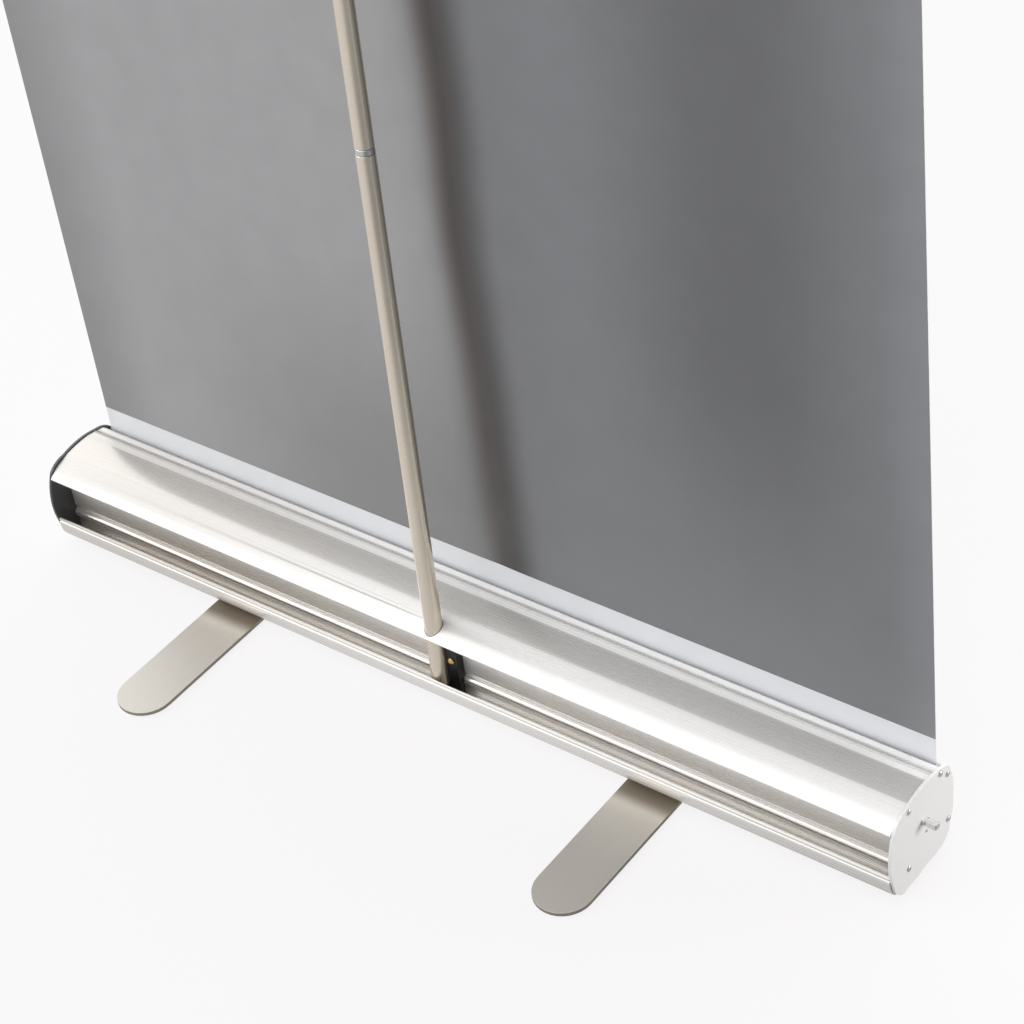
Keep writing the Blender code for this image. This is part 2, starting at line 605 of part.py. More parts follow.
turned(
    "bungee_cord",
    [(0, 17), (1.6, 17), (1.6, tube_end - 19), (0, tube_end - 19)],
    CORD_BLACK, pole_axis, 8,
)

# The block that holds the pole: a body against the channel wall, a lower part that clears the screw port,
# and a shelf under the pole, all cut by the pole's own groove.
BLOCK_LEFT = -16.5
BLOCK_RIGHT = 11.5
BLOCK_REAR = 66.0
seat = box(
    "pole_seat", (BLOCK_LEFT, 57.9 + GAP, 31.0), (BLOCK_RIGHT, BLOCK_REAR, 73.0), BLACK_PLASTIC, stand
)
seat_low = box("seat_low", (BLOCK_LEFT, 61.0, 12.0), (BLOCK_RIGHT, BLOCK_REAR, 33.0), BLACK_PLASTIC, stand)
seat_shelf = box("seat_shelf", (-5.5, 61.0, 17.4), (BLOCK_RIGHT, 72.4, 22.5), BLACK_PLASTIC, stand)
combine(seat, seat_low, "UNION")
combine(seat, seat_shelf, "UNION")
groove_cut = turned(
    "groove_cut",
    [(0, -FOOT_PLUG - 2 * GAP), (POLE_R + GAP, -FOOT_PLUG - 2 * GAP), (POLE_R + GAP, 56), (0, 56)],
    BLACK_PLASTIC, pole_axis, 32,
)
combine(seat, groove_cut, "DIFFERENCE")
seat_drill = turned("seat_drill", [(0, -2), (2.0, -2), (2.0, 10), (0, 10)], BLACK_PLASTIC, seat_screw_axis, 12)
combine(seat, seat_drill, "DIFFERENCE")
turned(
    "seat_screw",
    [(0, -2.0), (1.8, -1.7), (3.2, -0.5), (3.2, 0), (SCREW_R, 0), (SCREW_R, 10.5), (0.6, 12.5), (0, 12.5)],
    BRASS_ZINC, seat_screw_axis, 16,
)


# ---------------------------------------------------------------- feet
def foot(side):
    """A flat bar with round ends that turns under the housing on one bolt."""
    pivot = frame_at(f"foot_pivot_{side}", stand, (FOOT_X[side], FOOT_Y, 0))
    reach = (FOOT_LENGTH - FOOT_WIDTH) / 2
    outline = round_arc((0, reach), FOOT_WIDTH / 2, 0, 180, 16)
    outline += round_arc((0, -reach), FOOT_WIDTH / 2, 180, 360, 16)
    top = FOOT_LOW_Z + FOOT_THICK
    bar = flat_plate(f"foot_{side}", outline, FOOT_LOW_Z, top, FOOT_STEEL, pivot)
    hole = turned(
        f"foot_drill_{side}",
        [(0, FOOT_LOW_Z - 1), (7.4, FOOT_LOW_Z - 1), (7.4, FOOT_LOW_Z + 0.6), (PIVOT_R + GAP, FOOT_LOW_Z + 2.2),
         (PIVOT_R + GAP, top + 1), (0, top + 1)],
        FOOT_STEEL, pivot, 20,
    )
    combine(bar, hole, "DIFFERENCE")
    head_low = FOOT_LOW_Z + 0.1
    turned(
        f"foot_bolt_{side}",
        [(0, head_low), (6.6, head_low), (6.6, head_low + 0.4), (PIVOT_R, head_low + 2.1), (PIVOT_R, 15.4),
         (0, 15.4)],
        BRIGHT_STEEL, pivot, 20,
    )
    turned(
        f"foot_washer_{side}",
        [(PIVOT_R + GAP, top + GAP), (11.0, top + GAP), (11.0, HOUSING_LOW_Z - GAP),
         (PIVOT_R + GAP, HOUSING_LOW_Z - GAP)],
        BLACK_PLASTIC, pivot, 24,
    )
    nut_low = 7.6 + GAP
    hexagon = round_arc((0, 0), 6.4, 0, 300, 5)
    nut = flat_plate(f"foot_nut_{side}", hexagon, nut_low, nut_low + 5, BRIGHT_STEEL, pivot)
    thread = turned(
        f"nut_drill_{side}", [(0, 6), (PIVOT_R + 0.2, 6), (PIVOT_R + 0.2, 14), (0, 14)], BRIGHT_STEEL, pivot, 20
    )
    combine(nut, thread, "DIFFERENCE")
    for end, sign in (("front", -1), ("rear", 1)):
        turned(
            f"foot_pad_{side}_{end}",
            [(0, 0), (PAD_R - 0.3, 0), (PAD_R, 0.3), (PAD_R, PAD_THICK), (0, PAD_THICK)],
            RUBBER, pivot, 20, (0, sign * (FOOT_LENGTH / 2 - PAD_INSET), 0),
        )


foot("left")
foot("right")
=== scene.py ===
import json
import math

import bmesh
import bpy
import numpy as np
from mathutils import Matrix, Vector


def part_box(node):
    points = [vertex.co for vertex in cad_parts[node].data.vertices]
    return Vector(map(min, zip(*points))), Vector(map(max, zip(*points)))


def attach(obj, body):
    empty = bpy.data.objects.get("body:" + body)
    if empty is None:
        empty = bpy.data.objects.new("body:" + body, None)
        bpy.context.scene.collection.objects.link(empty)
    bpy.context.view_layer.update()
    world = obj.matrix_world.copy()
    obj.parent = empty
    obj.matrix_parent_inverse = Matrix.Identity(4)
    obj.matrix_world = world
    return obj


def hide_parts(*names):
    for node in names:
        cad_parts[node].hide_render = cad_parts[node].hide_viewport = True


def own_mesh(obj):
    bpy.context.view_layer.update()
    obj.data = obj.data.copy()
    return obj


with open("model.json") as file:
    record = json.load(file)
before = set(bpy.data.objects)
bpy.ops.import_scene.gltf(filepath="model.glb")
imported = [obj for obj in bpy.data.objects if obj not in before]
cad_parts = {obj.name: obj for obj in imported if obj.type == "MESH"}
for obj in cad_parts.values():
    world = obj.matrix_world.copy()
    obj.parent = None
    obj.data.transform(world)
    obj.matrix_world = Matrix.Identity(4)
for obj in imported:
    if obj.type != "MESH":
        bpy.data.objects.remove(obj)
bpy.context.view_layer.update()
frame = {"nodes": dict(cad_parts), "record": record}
print("stage: frame loaded,", len(frame["nodes"]), "nodes")

mm = 0.001
filmLow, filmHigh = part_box("banner_film")
# The middle of the film. The frame's origin is the middle of the whole stand instead.
filmMiddle = (filmLow + filmHigh) / 2
bodyOf = {node: body for body, nodes in frame["record"]["behaviour"]["bodies"].items() for node in nodes}


# ---------------------------------------------------------------- node helpers
def newMaterial(name, colour, roughness, metallic=0.0):
    made = bpy.data.materials.new(name)
    made.use_nodes = True
    tree = made.node_tree
    shader = tree.nodes["Principled BSDF"]
    shader.inputs["Base Color"].default_value = (*colour, 1)
    shader.inputs["Roughness"].default_value = roughness
    shader.inputs["Metallic"].default_value = metallic
    made.diffuse_color = (*colour, 1)
    return made, tree, shader


def addNode(tree, kind, **settings):
    node = tree.nodes.new(kind)
    for key, value in settings.items():
        setattr(node, key, value)
    return node


def feed(tree, value, socket):
    """Gives an input socket a value, or a link when the value is another node's output."""
    if isinstance(value, bpy.types.NodeSocket):
        tree.links.new(value, socket)
    else:
        socket.default_value = value


def combine(tree, operation, first, *others):
    """Adds, multiplies or compares outputs and numbers, one after another."""
    for other in others:
        node = addNode(tree, "ShaderNodeMath", operation=operation)
        feed(tree, first, node.inputs[0])
        feed(tree, other, node.inputs[1])
        first = node.outputs[0]
    return first


def mapRange(tree, value, source, target, smooth=False):
    """Takes a value from the source range to the target range, in a straight line or as a smooth step."""
    node = addNode(tree, "ShaderNodeMapRange", interpolation_type="SMOOTHSTEP" if smooth else "LINEAR")
    feed(tree, value, node.inputs["Value"])
    for label, end in zip(("From Min", "From Max", "To Min", "To Max"), (*source, *target)):
        feed(tree, end, node.inputs[label])
    return node.outputs[0]


def edgeMask(tree, value, edge, rising=True):
    """0 to 1 while the value passes over the edge, or 1 to 0 when not rising."""
    return mapRange(tree, value, edge, (0, 1) if rising else (1, 0), smooth=True)


def hump(tree, value, rise, fall):
    """A mask that rises over one edge and falls over the next."""
    return combine(tree, "MULTIPLY", edgeMask(tree, value, rise), edgeMask(tree, value, fall, False))


def mixColours(tree, factor, first, second, blend="MIX"):
    """The second colour replaces the first, or multiplies it, as far as the factor says."""
    node = addNode(tree, "ShaderNodeMix", data_type="RGBA", blend_type=blend)
    feed(tree, factor, node.inputs["Factor"])
    feed(tree, first, node.inputs[6])
    feed(tree, second, node.inputs[7])
    return node.outputs[2]


def mixNumbers(tree, factor, first, second):
    node = addNode(tree, "ShaderNodeMix", data_type="FLOAT")
    feed(tree, factor, node.inputs["Factor"])
    feed(tree, first, node.inputs[2])
    feed(tree, second, node.inputs[3])
    return node.outputs[0]


def noise(tree, place, scale, detail):
    node = addNode(tree, "ShaderNodeTexNoise")
    feed(tree, place, node.inputs["Vector"])
    feed(tree, scale, node.inputs["Scale"])
    feed(tree, detail, node.inputs["Detail"])
    return node.outputs["Fac"]


def objectCoordinates(tree):
    return addNode(tree, "ShaderNodeTexCoord").outputs["Object"]


def axesOf(tree, place):
    split = addNode(tree, "ShaderNodeSeparateXYZ")
    feed(tree, place, split.inputs[0])
    return split.outputs


def startGroup(name, inputs, outputs):
    """Makes a shader node group with named sockets: (name, kind, default) in, (name, kind) out."""
    group = bpy.data.node_groups.new(name, "ShaderNodeTree")
    for label, kind, value in inputs:
        socket = group.interface.new_socket(label, in_out="INPUT", socket_type=kind)
        socket.default_value = value
    for label, kind in outputs:
        group.interface.new_socket(label, in_out="OUTPUT", socket_type=kind)
    return group, addNode(group, "NodeGroupInput").outputs, addNode(group, "NodeGroupOutput").inputs


def placeGroup(tree, group, values):
    node = addNode(tree, "ShaderNodeGroup", node_tree=group)
    feed(tree, objectCoordinates(tree), node.inputs["Vector"])
    for label, value in values.items():
        feed(tree, value, node.inputs[label])
    return node.outputs


def addBump(tree, shader, height, strength, distance):
    bump = addNode(tree, "ShaderNodeBump")
    feed(tree, strength, bump.inputs["Strength"])
    feed(tree, distance, bump.inputs["Distance"])
    feed(tree, height, bump.inputs["Height"])
    feed(tree, bump.outputs["Normal"], shader.inputs["Normal"])


# ---------------------------------------------------------------- shared effects
groupResults = [("Color", "NodeSocketColor"), ("Roughness", "NodeSocketFloat"), ("Height", "NodeSocketFloat")]


def makeDrawnGrain():
    """Drawn or rolled metal: noise pulled out along one direction shifts colour and roughness a little."""
    group, given, result = startGroup("drawnGrain", [
        ("Vector", "NodeSocketVector", (0, 0, 0)), ("Squeeze", "NodeSocketVector", (1, 1, 1)),
        ("Scale", "NodeSocketFloat", 900.0), ("Dark", "NodeSocketColor", (0.5, 0.5, 0.5, 1)),
        ("Light", "NodeSocketColor", (0.8, 0.8, 0.8, 1)), ("Smooth", "NodeSocketFloat", 0.2),
        ("Rough", "NodeSocketFloat", 0.3),
    ], groupResults)
    squeezed = addNode(group, "ShaderNodeVectorMath", operation="MULTIPLY")
    feed(group, given["Vector"], squeezed.inputs[0])
    feed(group, given["Squeeze"], squeezed.inputs[1])
    fine = noise(group, squeezed.outputs[0], given["Scale"], 3)
    broad = noise(group, given["Vector"], 9, 2)
    both = combine(group, "ADD", combine(group, "MULTIPLY", broad, 0.55), fine)
    shade = mapRange(group, both, (0.45, 0.95), (0, 1))
    finish = mapRange(group, fine, (0.3, 0.7), (given["Smooth"], given["Rough"]))
    feed(group, mixColours(group, shade, given["Dark"], given["Light"]), result["Color"])
    feed(group, finish, result["Roughness"])
    feed(group, fine, result["Height"])
    return group


def makeMouldedSkin():
    """Moulded plastic, rubber and coated film: a fine pebble, and a broad smudge that dulls the gloss."""
    group, given, result = startGroup("mouldedSkin", [
        ("Vector", "NodeSocketVector", (0, 0, 0)), ("Scale", "NodeSocketFloat", 1500.0),
        ("Dark", "NodeSocketColor", (0.01, 0.01, 0.01, 1)),
        ("Light", "NodeSocketColor", (0.03, 0.03, 0.03, 1)),
        ("Smooth", "NodeSocketFloat", 0.35), ("Rough", "NodeSocketFloat", 0.55),
    ], groupResults)
    pebble = addNode(group, "ShaderNodeTexVoronoi", feature="SMOOTH_F1")
    feed(group, 0.6, pebble.inputs["Smoothness"])
    feed(group, given["Vector"], pebble.inputs["Vector"])
    feed(group, given["Scale"], pebble.inputs["Scale"])
    smudge = mapRange(group, noise(group, given["Vector"], 28, 4), (0.35, 0.68), (0, 1))
    finish = mapRange(group, smudge, (0, 1), (given["Smooth"], given["Rough"]))
    feed(group, mixColours(group, smudge, given["Dark"], given["Light"]), result["Color"])
    feed(group, finish, result["Roughness"])
    feed(group, pebble.outputs["Distance"], result["Height"])
    return group


drawnGrain = makeDrawnGrain()
mouldedSkin = makeMouldedSkin()
grainDepth = 0.08 * mm
pebbleDepth = 0.1 * mm


def grey(value, warm=0.0):
    """A linear grey as a socket colour; warm tips it from blue to yellow."""
    return (value * (1 + warm), value, value * (1 - 1.6 * warm), 1)


def drawnMetal(name, tones, roughness, grain, scale=900.0, bump=0.08, warm=0.0, metallic=1.0):
    """tones are (light, dark) linear greys and roughness is (least, most)."""
    light, dark = (grey(tone, warm) for tone in tones)
    made, tree, shader = newMaterial(name, light[:3], roughness[1], metallic)
    skin = placeGroup(tree, drawnGrain, {
        "Squeeze": grain, "Scale": scale, "Dark": dark, "Light": light,
        "Smooth": roughness[0], "Rough": roughness[1],
    })
    feed(tree, skin["Color"], shader.inputs["Base Color"])
    feed(tree, skin["Roughness"], shader.inputs["Roughness"])
    if bump:
        addBump(tree, shader, skin["Height"], bump, grainDepth)
    return made


def mouldedMaterial(name, tones, roughness, scale=1500.0, bump=0.15, warm=0.0):
    """tones are (light, dark) linear greys and roughness is (least, most)."""
    light, dark = (grey(tone, warm) for tone in tones)
    made, tree, shader = newMaterial(name, light[:3], roughness[1])
    skin = placeGroup(tree, mouldedSkin, {
        "Scale": scale, "Dark": dark, "Light": light, "Smooth": roughness[0], "Rough": roughness[1],
    })
    feed(tree, skin["Color"], shader.inputs["Base Color"])
    feed(tree, skin["Roughness"], shader.inputs["Roughness"])
    addBump(tree, shader, skin["Height"], bump, pebbleDepth)
    return made


# ---------------------------------------------------------------- the stand's finishes
# How far noise is pulled out along each axis, as a factor on the coordinates.
alongX = (0.004, 1.0, 1.0)
alongY = (1.0, 0.01, 1.0)
alongZ = (1.0, 1.0, 0.004)
evenGrain = (1.0, 1.0, 1.0)

extrusion = {
    "tones": (0.88, 0.865), "warm": 0.026, "roughness": (0.25, 0.28),
    "grain": alongX, "scale": 1400.0, "bump": 0.0, "metallic": 0.62,
}
extruded = drawnMetal("extrudedAluminium", **extrusion)
plateMetal = drawnMetal(
    "plateAluminium", (0.90, 0.87), (0.42, 0.55), evenGrain, 700.0, 0.06, warm=0.010, metallic=0.2)
# Painted shade: a dark grey for the end plates' inside faces and the right plate's rim.
plateShadedInside = drawnMetal(
    "plateShadedInside", (0.12, 0.10), (0.30, 0.40), evenGrain, 700.0, 0.05, warm=-0.03, metallic=0.6)
footEdge = drawnMetal("footEdge", (0.30, 0.24), (0.36, 0.48), alongY, 500.0, 0.04, warm=0.10, metallic=0.6)
poleMetal = drawnMetal("poleAlloy", (0.75, 0.73), (0.27, 0.31), alongZ, 900.0, 0.0, warm=0.100, metallic=0.88)
collarMetal = drawnMetal("collarSteel", (0.72, 0.62), (0.20, 0.30), alongZ)
screwMetal = drawnMetal("screwSteel", (0.72, 0.55), (0.20, 0.34), evenGrain, 1600.0, 0.12)
pinMetal = drawnMetal("pinSteel", (0.82, 0.70), (0.16, 0.28), evenGrain, 1200.0, 0.12)
springMetal = drawnMetal("springSteel", (0.30, 0.18), (0.25, 0.40), evenGrain, 600.0, 0.1)
tubeMetal = drawnMetal("rollerTube", (0.76, 0.66), (0.25, 0.36), alongX, 900.0, 0.1)
yellowZinc = drawnMetal("yellowZinc", (0.70, 0.52), (0.24, 0.36), evenGrain, 1500.0, 0.12)
for label, tone in (("Light", (0.78, 0.58, 0.24, 1)), ("Dark", (0.62, 0.44, 0.16, 1))):
    yellowZinc.node_tree.nodes["Group"].inputs[label].default_value = tone
blackPlastic = mouldedMaterial("blackPlastic", (0.008, 0.005), (0.40, 0.55))
blackRubber = mouldedMaterial("blackRubber", (0.040, 0.028), (0.65, 0.85), 900.0, 0.25)
washerPlastic = mouldedMaterial("washerPlastic", (0.030, 0.020), (0.40, 0.55))
filmFront = mouldedMaterial("filmFront", (0.80, 0.77), (0.42, 0.50), 900.0, 0.04)
leaderWhite = mouldedMaterial("leaderWhite", (0.81, 0.78), (0.32, 0.42), 900.0, 0.04, warm=-0.02)

footLook = {
    "lipShadeY": (0.044, 0.060),     # metres: painted shadow up to the first, none from the second
    "lipShadeTone": (0.42, 0.38, 0.33, 1),
}


def makeFootMetal():
    """The feet's nickel, with painted shadow where each foot goes under the housing's lip."""
    made = drawnMetal("footNickel", (0.66, 0.64), (0.36, 0.42), alongY, 500.0, 0.01, warm=0.060, metallic=0.6)
    tree = made.node_tree
    colour = tree.nodes["Principled BSDF"].inputs["Base Color"]
    unshadedColour = colour.links[0].from_socket
    # Painted shadow: the nickel is darker where the housing's lip overhangs the foot.
    shadedUnderLip = edgeMask(tree, axesOf(tree, objectCoordinates(tree))["Y"], footLook["lipShadeY"], rising=False)
    feed(tree, mixColours(tree, shadedUnderLip, unshadedColour, footLook["lipShadeTone"], "MULTIPLY"), colour)
    return made


# Edges of the soft masks that paint light and shade on the housing's section, in metres: where each starts
# and where it is full.
housingLook = {
    "ribRise": (-0.0168, -0.0160), "ribFall": (-0.0101, -0.0093), "ribFoot": (0.0876, 0.0882),
    "slotEdgeFall": (-0.0225, -0.0215), "slotEdgeFoot": (0.0830, 0.0836),
    "noseRise": (0.0156, 0.0168), "noseFoot": (0.0755, 0.0775), "noseShare": 0.7,
    "wallRise": (0.0215, 0.0222), "wallFall": (0.0235, 0.0245),
    "wallFoot": (0.040, 0.066), "wallTop": (0.0826, 0.0832),
    # painted shade towards +X: where it starts and where it is full
    "plusXShadeEdge": (-0.02, 0.34),
    "pale": (0.97, 0.96, 0.945, 1), "paleMetallic": 0.1,
    "plusXShadeTone": (0.84, 0.82, 0.80, 1),
}


def makeHousingMetal():
    """The housing's extrusion: as the rail's, with painted light on the rib, slot edge, nose and channel
    wall, which are made paler and less metallic.
    """
    made = drawnMetal("housingAluminium", **extrusion)
    tree = made.node_tree
    shader = tree.nodes["Principled BSDF"]
    bare = shader.inputs["Base Color"].links[0].from_socket
    look = housingLook
    axes = axesOf(tree, objectCoordinates(tree))
    y, z = axes["Y"], axes["Z"]
    # Painted light: the rib, the slot edge, the nose and the channel wall are made paler and less metallic,
    # lifting them out of shade.
    rib = combine(tree, "MULTIPLY", hump(tree, y, look["ribRise"], look["ribFall"]),
                  edgeMask(tree, z, look["ribFoot"]))
    slotEdge = combine(tree, "MULTIPLY", edgeMask(tree, y, look["slotEdgeFall"], rising=False),
                       edgeMask(tree, z, look["slotEdgeFoot"]))
    nose = combine(tree, "MULTIPLY", edgeMask(tree, y, look["noseRise"]),
                   edgeMask(tree, z, look["noseFoot"]), look["noseShare"])
    wall = combine(tree, "MULTIPLY", hump(tree, y, look["wallRise"], look["wallFall"]),
                   hump(tree, z, look["wallFoot"], look["wallTop"]))
    mask = combine(tree, "MAXIMUM", rib, slotEdge, nose, wall)
    paintedLighter = mixColours(tree, mask, bare, look["pale"])
    # Painted shade: the extrusion's colour is darkened a little towards +X.
    plusXShaded = mixColours(tree, edgeMask(tree, axes["X"], look["plusXShadeEdge"]), paintedLighter, look["plusXShadeTone"], "MULTIPLY")
    feed(tree, plusXShaded, shader.inputs["Base Color"])
    metallic = mapRange(tree, mask, (0, 1), (extrusion["metallic"], look["paleMetallic"]))
    feed(tree, metallic, shader.inputs["Metallic"])
    return made


# The film's rear, with painted light and shade: linear greys for its lighter and darker sides, and the share
# of them that each painted soft shadow takes away, a negative share painting light. Its places are metres
# from the film's middle, and its heights metres from the floor.
filmTone = {
    "pale": 0.335,       # the painted lighter side, +X of the crease
    "dusk": 0.20,        # the painted darker side, -X of it
    "sides": (-0.026, 0.014),
    "climb": (0.13, 0.42),
    # painted shadow and reflection of the pole, along the film's real crease
    "crease": 0.68, "creaseRise": (-0.066, -0.030), "creaseFall": (-0.026, 0.0),
    "hollow": 0.35, "hollowRise": (-0.41, -0.29), "hollowFall": (-0.27, -0.12),    # a broad painted shade
    "foot": 0.32, "footRise": (-0.08, 0.01), "footFall": (0.08, 0.37),
    "paleRim": 0.25, "paleRimRise": (0.34, 0.43),
    "duskRim": -0.25, "duskRimFall": (-0.43, -0.38),                               # this rim is painted lighter
    "duskTint": (0.98, 1.0, 1.05, 1), "paleTint": (1.0, 1.0, 1.02, 1), "tintEdge": (-0.08, 0.02),
    "brown": (1.10, 1.0, 0.95, 1), "brownRise": (-0.045, -0.030), "brownFall": (-0.020, 0.0),
    "sway": 0.02, "swayScale": 2.6,    # the painted shadow along the crease leans to and fro on its way up
}


def shaded(tree, tone, mask, share):
    """The tone, less the share of it where the mask is 1."""
    return combine(tree, "MULTIPLY", tone, mapRange(tree, mask, (0, 1), (1, 1 - share)))


def makeFilmBack():
    """Grey blockout film, finely grained, with painted light and shade: lighter on one side of a soft crease
    and darker on the other, with the pole's shadow and reflection painted as a dark band along the crease.
    """
    made, tree, shader = newMaterial("filmBack", (0.2, 0.2, 0.2), 0.38)
    look = filmTone
    axes = axesOf(tree, objectCoordinates(tree))
    height = axes["Z"]
    sway = addNode(tree, "ShaderNodeTexNoise", noise_dimensions="1D")
    feed(tree, look["swayScale"], sway.inputs["Scale"])
    feed(tree, 1, sway.inputs["Detail"])
    feed(tree, height, sway.inputs["W"])
    swayed = combine(tree, "MULTIPLY", sway.outputs["Fac"], look["sway"])
    across = combine(tree, "ADD", swayed, axes["X"], -look["sway"] / 2 - filmMiddle.x)
    tone = mapRange(tree, across, look["sides"], (look["dusk"], look["pale"]), smooth=True)
    hollow = combine(tree, "MULTIPLY", hump(tree, across, look["hollowRise"], look["hollowFall"]),
                     edgeMask(tree, height, look["climb"]))
    foot = combine(tree, "MULTIPLY", hump(tree, across, look["footRise"], look["footFall"]),
                   edgeMask(tree, height, look["climb"], rising=False))
    for mask, share in (
        (hollow, look["hollow"]),
        (foot, look["foot"]),
        (edgeMask(tree, across, look["paleRimRise"]), look["paleRim"]),
        (edgeMask(tree, across, look["duskRimFall"], rising=False), look["duskRim"]),
        (hump(tree, across, look["creaseRise"], look["creaseFall"]), look["crease"]),
    ):
        tone = shaded(tree, tone, mask, share)
    # Painted light and shade: the darker side is tinted a little blue, and the painted shadow along the
    # crease a little brown, as the pole's reflection.
    tint = mixColours(tree, edgeMask(tree, across, look["tintEdge"]), look["duskTint"], look["paleTint"])
    brown = hump(tree, across, look["brownRise"], look["brownFall"])
    tinted = addNode(tree, "ShaderNodeVectorMath", operation="SCALE")
    feed(tree, mixColours(tree, brown, tint, look["brown"]), tinted.inputs[0])
    feed(tree, tone, tinted.inputs["Scale"])
    skin = placeGroup(tree, mouldedSkin, {
        "Scale": 900.0, "Dark": grey(0.97), "Light": grey(1.03), "Smooth": 0.40, "Rough": 0.50,
    })
    grained = mixColours(tree, 1, tinted.outputs[0], skin["Color"], "MULTIPLY")
    feed(tree, grained, shader.inputs["Base Color"])
    feed(tree, skin["Roughness"], shader.inputs["Roughness"])
    addBump(tree, shader, skin["Height"], 0.03, 0.05 * mm)
    return made


footMetal = makeFootMetal()
housingMetal = makeHousingMetal()
filmBack = makeFilmBack()
print("stage: finishes made")


# ---------------------------------------------------------------- mesh helpers
def addPiece(name, mesh, material, body, replaced=()):
    made = bpy.data.objects.new(name, mesh)
    bpy.context.scene.collection.objects.link(made)
    if material is not None:
        mesh.materials.append(material)
    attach(made, body)
    if replaced:
        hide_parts(*replaced)
    return made


def meshFrom(name, vertices, faces, sharpDegrees):
    """A smooth mesh from arrays of points and of four-sided faces."""
    mesh = bpy.data.meshes.new(name)
    mesh.vertices.add(len(vertices))
    mesh.vertices.foreach_set("co", np.ascontiguousarray(vertices, dtype=np.float32).ravel())
    mesh.loops.add(faces.size)
    mesh.loops.foreach_set("vertex_index", np.ascontiguousarray(faces, dtype=np.int32).ravel())
    mesh.polygons.add(len(faces))
    mesh.polygons.foreach_set("loop_start", np.arange(len(faces), dtype=np.int32) * faces.shape[1])
    mesh.update(calc_edges=True)
    mesh.validate()
    mesh.shade_smooth()
    mesh.set_sharp_from_angle(angle=math.radians(sharpDegrees))
    return mesh


doublesWithin = 0.004 * mm
flatWithin = 0.3         # degrees


def refine(nodeName, material, body, bevel=0.0, sharpDegrees=30):
    """A finished copy of a CAD piece: doubles merged, flat faces whole, curves smooth and edges eased."""
    mesh = frame["nodes"][nodeName].data.copy()
    mesh.name = nodeName
    mesh.materials.clear()
    work = bmesh.new()
    work.from_mesh(mesh)
    bmesh.ops.remove_doubles(work, verts=work.verts, dist=doublesWithin)
    bmesh.ops.dissolve_limit(work, angle_limit=math.radians(flatWithin), verts=work.verts, edges=work.edges)
    work.to_mesh(mesh)
    work.free()
    mesh.shade_smooth()
    mesh.set_sharp_from_angle(angle=math.radians(sharpDegrees))
    made = addPiece(nodeName + "_finished", mesh, material, body, (nodeName,))
    if bevel:
        easing = made.modifiers.new("easedEdges", "BEVEL")
        easing.width = bevel
        easing.segments = 2
        easing.limit_method = "ANGLE"
        easing.angle_limit = math.radians(sharpDegrees)
        easing.harden_normals = True
    return made


# ---------------------------------------------------------------- pieces that keep their CAD shape
# Each CAD node's finish and the width of its eased edges, 0 where they stay as they are.
finishes = {
    "housing_shell": (housingMetal, 0.0),
    "tension_axle": (pinMetal, 0.2 * mm),
    "idle_stub": (screwMetal, 0.2 * mm),
    "torsion_spring": (springMetal, 0.0),
    "roller_tube": (tubeMetal, 0.0),
    "leader_wraps": (leaderWhite, 0.0),
    "spring_anchor_plug": (blackPlastic, 0.4 * mm),
    "pole_seat": (blackPlastic, 0.4 * mm),
    "seat_screw": (yellowZinc, 0.0),
    "rail_rear": (extruded, 0.15 * mm),
    "rail_jaw": (extruded, 0.15 * mm),
    "pole_foot_plug": (blackRubber, 0.0),
    "pole_tip": (blackPlastic, 0.0),
    "bungee_cord": (blackRubber, 0.0),
}
for side in ("left", "right"):
    finishes[f"end_plate_{side}"] = (plateMetal, 0.3 * mm)
    finishes[f"foot_{side}"] = (footMetal, 0.3 * mm)
    finishes[f"foot_washer_{side}"] = (washerPlastic, 0.0)
    finishes[f"foot_bolt_{side}"] = (screwMetal, 0.0)
    finishes[f"foot_nut_{side}"] = (screwMetal, 0.3 * mm)
    finishes[f"roller_plug_{side}"] = (blackPlastic, 0.4 * mm)
    finishes[f"rail_cap_{side}"] = (blackPlastic, 0.4 * mm)
    for end in ("front", "rear"):
        finishes[f"foot_pad_{side}_{end}"] = (blackRubber, 0.0)
    for port in ("slot_rear", "slot_front", "rear_top", "front_low", "rear_low"):
        finishes[f"plate_screw_{port}_{side}"] = (screwMetal, 0.0)
for number in (1, 2, 3, 4):
    finishes[f"pole_section_{number}"] = (poleMetal, 0.0)
for number in (1, 2, 3):
    finishes[f"pole_spigot_{number}"] = (collarMetal, 0.0)

# A second material on the faces whose normals pass the test: the feet are darker on their sides, the plates
# have painted shade on their inside faces, and the right plate has painted shade on its rim as well.
secondFinish = {
    "foot_left": (footEdge, lambda normals: np.abs(normals[:, 2]) < 0.7),
    "foot_right": (footEdge, lambda normals: np.abs(normals[:, 2]) < 0.7),
    "end_plate_left": (plateShadedInside, lambda normals: normals[:, 0] > 0.5),
    "end_plate_right": (plateShadedInside, lambda normals: normals[:, 0] < 0.5),
}
for nodeName, (finish, bevel) in finishes.items():
    made = refine(nodeName, finish, bodyOf[nodeName], bevel)
    if nodeName in secondFinish:
        extra, test = secondFinish[nodeName]
        made.data.materials.append(extra)
        normals = np.empty(len(made.data.polygons) * 3, dtype=np.float32)
        made.data.polygons.foreach_get("normal", normals)
        made.data.polygons.foreach_set("material_index", test(normals.reshape(-1, 3)).astype(np.int32))
print("stage: CAD pieces finished")


# ---------------------------------------------------------------- film and leader
slotZ = 83 * mm              # where the film leaves the housing
sheetThick = 0.5 * mm
filmLook = {
    "columns": 220,          # grid steps across
    "rows": 260,             # grid steps up
    "leaderRows": 14,
    "waveDepth": 1.6 * mm,   # the broad lean of the film between its edges
    "waveRise": 0.45,        # metres over which it grows above the slot
    "waveFall": 0.5,         # and dies out below the rail
    "railZ": 2.045,
    "creaseDepth": 1.6 * mm, # the soft crease that runs up behind the pole
    "creaseX": -24 * mm,
    "creaseWidth": 13 * mm,
    "creaseSway": 6 * mm,
    "creaseRise": 0.08,
}


